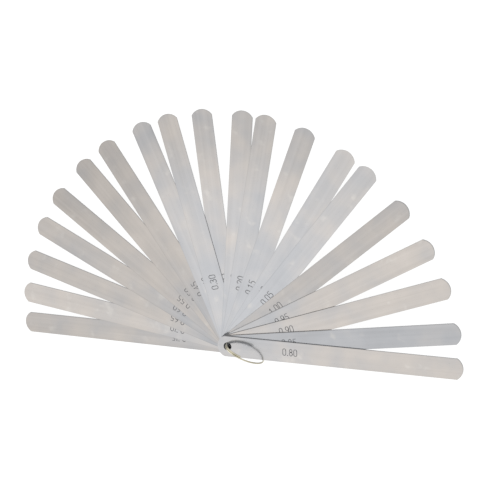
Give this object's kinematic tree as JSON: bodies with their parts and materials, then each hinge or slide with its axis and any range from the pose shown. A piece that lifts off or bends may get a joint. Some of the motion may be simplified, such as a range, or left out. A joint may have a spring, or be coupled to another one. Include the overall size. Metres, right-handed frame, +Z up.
{
  "type": "feeler gauge",
  "caption": "Loose-leaf metric feeler gauge: straight spring-steel leaves with domed ends, fanned out on a wire split ring.",
  "frame": {"origin": "on the plane the ring stands on, directly below the wire where the leaves are threaded on it", "axes": "+Z up and parallel to every leaf's swing axis, +X from the threaded side of the ring across its loop, ring upright in the XZ plane"},
  "size_m": [0.2744, 0.2032, 0.0249],
  "materials": {
    "leaf_steel": "satin ground spring steel",
    "ring_wire": "pale brass-plated steel wire"
  },
  "bodies": {
    "ring": {"split_ring": "ring_wire"},
    "blade_0_05": {"blade_0_05": "leaf_steel"},
    "blade_0_10": {"blade_0_10": "leaf_steel"},
    "blade_0_15": {"blade_0_15": "leaf_steel"},
    "blade_0_20": {"blade_0_20": "leaf_steel"},
    "blade_0_25": {"blade_0_25": "leaf_steel"},
    "blade_0_30": {"blade_0_30": "leaf_steel"},
    "blade_0_35": {"blade_0_35": "leaf_steel"},
    "blade_0_40": {"blade_0_40": "leaf_steel"},
    "blade_0_45": {"blade_0_45": "leaf_steel"},
    "blade_0_50": {"blade_0_50": "leaf_steel"},
    "blade_0_55": {"blade_0_55": "leaf_steel"},
    "blade_0_60": {"blade_0_60": "leaf_steel"},
    "blade_0_65": {"blade_0_65": "leaf_steel"},
    "blade_0_70": {"blade_0_70": "leaf_steel"},
    "blade_0_75": {"blade_0_75": "leaf_steel"},
    "blade_0_80": {"blade_0_80": "leaf_steel"},
    "blade_0_85": {"blade_0_85": "leaf_steel"},
    "blade_0_90": {"blade_0_90": "leaf_steel"},
    "blade_0_95": {"blade_0_95": "leaf_steel"},
    "blade_1_00": {"blade_1_00": "leaf_steel"}
  },
  "joints": [
    {"name": "swing_0_05", "type": "hinge", "parent": "ring", "child": "blade_0_05", "pos_m": [0.00102, -0.00108, 0.00877], "axis": [0, 0, 1], "range_deg": [-54, 268]},
    {"name": "swing_0_10", "type": "hinge", "parent": "ring", "child": "blade_0_10", "pos_m": [0.00104, -0.00108, 0.00865], "axis": [0, 0, 1], "range_deg": [-60.5, 261]},
    {"name": "swing_0_15", "type": "hinge", "parent": "ring", "child": "blade_0_15", "pos_m": [0.00108, -0.00109, 0.00847], "axis": [0, 0, 1], "range_deg": [-71.5, 250]},
    {"name": "swing_0_20", "type": "hinge", "parent": "ring", "child": "blade_0_20", "pos_m": [0.00113, -0.0011, 0.00825], "axis": [0, 0, 1], "range_deg": [-81.5, 240]},
    {"name": "swing_0_25", "type": "hinge", "parent": "ring", "child": "blade_0_25", "pos_m": [0.0012, -0.00111, 0.00797], "axis": [0, 0, 1], "range_deg": [-87.5, 233.5]},
    {"name": "swing_0_30", "type": "hinge", "parent": "ring", "child": "blade_0_30", "pos_m": [0.00129, -0.00113, 0.00765], "axis": [0, 0, 1], "range_deg": [-106.5, 214]},
    {"name": "swing_0_35", "type": "hinge", "parent": "ring", "child": "blade_0_35", "pos_m": [0.00141, -0.00114, 0.00728], "axis": [0, 0, 1], "range_deg": [-97.5, 222.5]},
    {"name": "swing_0_40", "type": "hinge", "parent": "ring", "child": "blade_0_40", "pos_m": [0.00157, -0.00116, 0.00685], "axis": [0, 0, 1], "range_deg": [-113.5, 205.5]},
    {"name": "swing_0_45", "type": "hinge", "parent": "ring", "child": "blade_0_45", "pos_m": [0.00177, -0.00118, 0.00637], "axis": [0, 0, 1], "range_deg": [-124, 194]},
    {"name": "swing_0_50", "type": "hinge", "parent": "ring", "child": "blade_0_50", "pos_m": [0.00202, -0.0012, 0.00585], "axis": [0, 0, 1], "range_deg": [-132, 185]},
    {"name": "swing_0_55", "type": "hinge", "parent": "ring", "child": "blade_0_55", "pos_m": [0.00235, -0.00123, 0.00528], "axis": [0, 0, 1], "range_deg": [-142, 173]},
    {"name": "swing_0_60", "type": "hinge", "parent": "ring", "child": "blade_0_60", "pos_m": [0.00277, -0.00126, 0.00465], "axis": [0, 0, 1], "range_deg": [-150.5, 162]},
    {"name": "swing_0_65", "type": "hinge", "parent": "ring", "child": "blade_0_65", "pos_m": [0.00331, -0.00129, 0.00398], "axis": [0, 0, 1], "range_deg": [-158.5, 150]},
    {"name": "swing_0_70", "type": "hinge", "parent": "ring", "child": "blade_0_70", "pos_m": [0.00401, -0.00132, 0.00325], "axis": [0, 0, 1], "range_deg": [-164.5, 134]},
    {"name": "swing_0_75", "type": "hinge", "parent": "ring", "child": "blade_0_75", "pos_m": [0.00495, -0.00135, 0.00248], "axis": [0, 0, 1], "range_deg": [-168, 120]},
    {"name": "swing_0_80", "type": "hinge", "parent": "ring", "child": "blade_0_80", "pos_m": [0.00106, -0.00088, 0.01315], "axis": [0, 0, 1], "range_deg": [-2, 321]},
    {"name": "swing_0_85", "type": "hinge", "parent": "ring", "child": "blade_0_85", "pos_m": [0.00092, -0.00092, 0.01227], "axis": [0, 0, 1], "range_deg": [-10.5, 312]},
    {"name": "swing_0_90", "type": "hinge", "parent": "ring", "child": "blade_0_90", "pos_m": [0.00084, -0.00096, 0.01135], "axis": [0, 0, 1], "range_deg": [-22, 301]},
    {"name": "swing_0_95", "type": "hinge", "parent": "ring", "child": "blade_0_95", "pos_m": [0.00084, -0.00101, 0.01038], "axis": [0, 0, 1], "range_deg": [-32, 291]},
    {"name": "swing_1_00", "type": "hinge", "parent": "ring", "child": "blade_1_00", "pos_m": [0.00093, -0.00105, 0.00935], "axis": [0, 0, 1], "range_deg": [-43, 279.5]}
  ]
}
